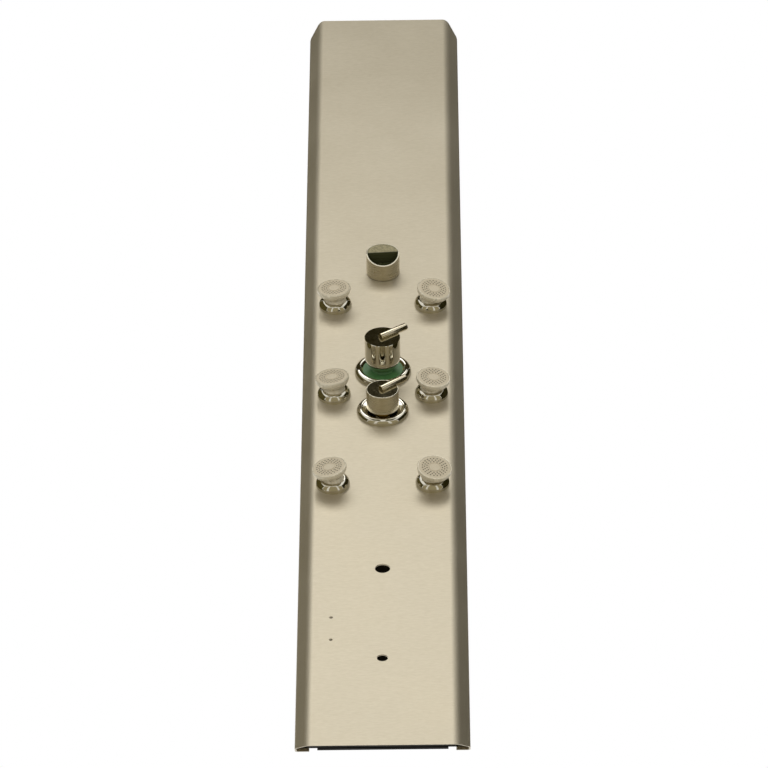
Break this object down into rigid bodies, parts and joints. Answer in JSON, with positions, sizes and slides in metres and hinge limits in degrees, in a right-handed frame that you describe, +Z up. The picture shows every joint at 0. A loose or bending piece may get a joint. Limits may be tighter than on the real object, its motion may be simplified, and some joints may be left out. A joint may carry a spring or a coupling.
{
  "type": "shower panel column",
  "caption": "Tall folded-sheet wall shower panel with a tilting mixer handle, a diverter handle, a round top knob and small swivelling body jets.",
  "frame": {"origin": "centre of the four wall screws, on the wall's face, at mid-height of the panel", "axes": "+Z up along the panel, +X to the viewer's right, -Y out of the wall towards the viewer"},
  "size_m": [0.2, 0.1043, 1.6],
  "materials": {
    "champagne_aluminium": "satin anodised",
    "brushed_nickel": "brushed",
    "polished_chrome": "polished",
    "dark_chrome": "polished",
    "champagne_satin": "satin",
    "beige_plastic": "matte",
    "green_rubber": "matte",
    "black_rubber": "matte",
    "cast_brass": "machined",
    "copper_pipe": "drawn",
    "zinc_steel": "zinc plated",
    "black_steel": "powder coated",
    "white_acetal": "moulded",
    "grey_plastic": "moulded"
  },
  "bodies": {
    "panel": {"front_panel": "champagne_aluminium", "back_rail_upper": "black_steel", "back_rail_lower": "black_steel", "wall_bracket_upper": "black_steel", "wall_bracket_lower": "black_steel", "rail_rivets": "zinc_steel", "standoff_screws": "zinc_steel", "mixer_body": "cast_brass", "inlet_unions": "cast_brass", "diverter_body": "cast_brass", "top_valve_body": "cast_brass", "valve_ring_nuts": "cast_brass", "panel_gaskets": "black_rubber", "mixer_cartridge": "white_acetal", "mixer_cartridge_nut": "cast_brass", "mixer_escutcheon": "polished_chrome", "mixer_seal_ring": "green_rubber", "diverter_escutcheon": "polished_chrome", "diverter_gland_nut": "cast_brass", "top_gland_nut": "cast_brass", "jet_housings": "polished_chrome", "jet_back_nuts": "cast_brass", "left_jet_manifold": "grey_plastic", "right_jet_manifold": "grey_plastic", "mixer_outlet_pipe": "copper_pipe", "top_supply_pipe": "copper_pipe", "jet_feed_pipes": "copper_pipe"},
    "mixer_sleeve": {"mixer_turn_sleeve": "cast_brass"},
    "mixer_handle": {"mixer_spindle": "cast_brass", "mixer_handle_barrel": "polished_chrome", "mixer_handle_disc": "dark_chrome", "mixer_lever": "polished_chrome", "mixer_grub_screw": "zinc_steel"},
    "diverter_handle": {"diverter_spindle": "cast_brass", "diverter_handle_barrel": "brushed_nickel", "diverter_handle_disc": "dark_chrome", "diverter_lever": "polished_chrome", "diverter_grub_screw": "zinc_steel"},
    "top_knob": {"top_valve_spindle": "cast_brass", "top_knob_barrel": "brushed_nickel", "top_knob_plate": "dark_chrome", "top_knob_grub_screw": "zinc_steel"},
    "jet_upper_left_ring": {"jet_upper_left_seat_ring": "white_acetal"},
    "jet_upper_left_head": {"jet_upper_left_head": "champagne_satin", "jet_upper_left_nozzle_face": "beige_plastic"},
    "jet_upper_right_ring": {"jet_upper_right_seat_ring": "white_acetal"},
    "jet_upper_right_head": {"jet_upper_right_head": "champagne_satin", "jet_upper_right_nozzle_face": "beige_plastic"},
    "jet_middle_left_ring": {"jet_middle_left_seat_ring": "white_acetal"},
    "jet_middle_left_head": {"jet_middle_left_head": "champagne_satin", "jet_middle_left_nozzle_face": "beige_plastic"},
    "jet_middle_right_ring": {"jet_middle_right_seat_ring": "white_acetal"},
    "jet_middle_right_head": {"jet_middle_right_head": "champagne_satin", "jet_middle_right_nozzle_face": "beige_plastic"},
    "jet_lower_left_ring": {"jet_lower_left_seat_ring": "white_acetal"},
    "jet_lower_left_head": {"jet_lower_left_head": "champagne_satin", "jet_lower_left_nozzle_face": "beige_plastic"},
    "jet_lower_right_ring": {"jet_lower_right_seat_ring": "white_acetal"},
    "jet_lower_right_head": {"jet_lower_right_head": "champagne_satin", "jet_lower_right_nozzle_face": "beige_plastic"}
  },
  "joints": [
    {"name": "mixer_turn", "type": "hinge", "parent": "panel", "child": "mixer_sleeve", "pos_m": [0, -0.046, -0.052], "axis": [0, -1, 0], "range_deg": [0, 106]},
    {"name": "mixer_tilt", "type": "hinge", "parent": "mixer_sleeve", "child": "mixer_handle", "pos_m": [0, -0.051, -0.052], "axis": [0.6018, 0, -0.7986], "range_deg": [0, 16]},
    {"name": "diverter_turn", "type": "hinge", "parent": "panel", "child": "diverter_handle", "pos_m": [0, -0.046, -0.138], "axis": [0, -1, 0], "range_deg": [0, 100]},
    {"name": "top_knob_turn", "type": "hinge", "parent": "panel", "child": "top_knob", "pos_m": [0, -0.046, 0.174], "axis": [0, -1, 0], "range_deg": [-4, 86]},
    {"name": "jet_upper_left_tilt", "type": "hinge", "parent": "panel", "child": "jet_upper_left_ring", "pos_m": [-0.06, -0.049, 0.098], "axis": [1, 0, 0], "range_deg": [-10.6, 15.4]},
    {"name": "jet_upper_left_pan", "type": "hinge", "parent": "jet_upper_left_ring", "child": "jet_upper_left_head", "pos_m": [-0.06, -0.049, 0.098], "axis": [0, 0.0419, 0.9991], "range_deg": [-9.6, 16.4]},
    {"name": "jet_upper_right_tilt", "type": "hinge", "parent": "panel", "child": "jet_upper_right_ring", "pos_m": [0.06, -0.049, 0.098], "axis": [1, 0, 0], "range_deg": [-19, 7]},
    {"name": "jet_upper_right_pan", "type": "hinge", "parent": "jet_upper_right_ring", "child": "jet_upper_right_head", "pos_m": [0.06, -0.049, 0.098], "axis": [0, -0.1045, 0.9945], "range_deg": [-24, 2]},
    {"name": "jet_middle_left_tilt", "type": "hinge", "parent": "panel", "child": "jet_middle_left_ring", "pos_m": [-0.06, -0.049, -0.101], "axis": [1, 0, 0], "range_deg": [-8, 18]},
    {"name": "jet_middle_left_pan", "type": "hinge", "parent": "jet_middle_left_ring", "child": "jet_middle_left_head", "pos_m": [-0.06, -0.049, -0.101], "axis": [0, 0.0872, 0.9962], "range_deg": [-7.3, 18.7]},
    {"name": "jet_middle_right_tilt", "type": "hinge", "parent": "panel", "child": "jet_middle_right_ring", "pos_m": [0.06, -0.049, -0.101], "axis": [1, 0, 0], "range_deg": [-15.8, 10.2]},
    {"name": "jet_middle_right_pan", "type": "hinge", "parent": "jet_middle_right_ring", "child": "jet_middle_right_head", "pos_m": [0.06, -0.049, -0.101], "axis": [0, -0.0488, 0.9988], "range_deg": [-19.3, 6.7]},
    {"name": "jet_lower_left_tilt", "type": "hinge", "parent": "panel", "child": "jet_lower_left_ring", "pos_m": [-0.06, -0.049, -0.291], "axis": [1, 0, 0], "range_deg": [-13, 13]},
    {"name": "jet_lower_left_pan", "type": "hinge", "parent": "jet_lower_left_ring", "child": "jet_lower_left_head", "pos_m": [-0.06, -0.049, -0.291], "axis": [0, 0, 1], "range_deg": [-3, 23]},
    {"name": "jet_lower_right_tilt", "type": "hinge", "parent": "panel", "child": "jet_lower_right_ring", "pos_m": [0.06, -0.049, -0.291], "axis": [1, 0, 0], "range_deg": [-20.8, 5.2]},
    {"name": "jet_lower_right_pan", "type": "hinge", "parent": "jet_lower_right_ring", "child": "jet_lower_right_head", "pos_m": [0.06, -0.049, -0.291], "axis": [0, -0.1357, 0.9907], "range_deg": [-20, 6]}
  ]
}
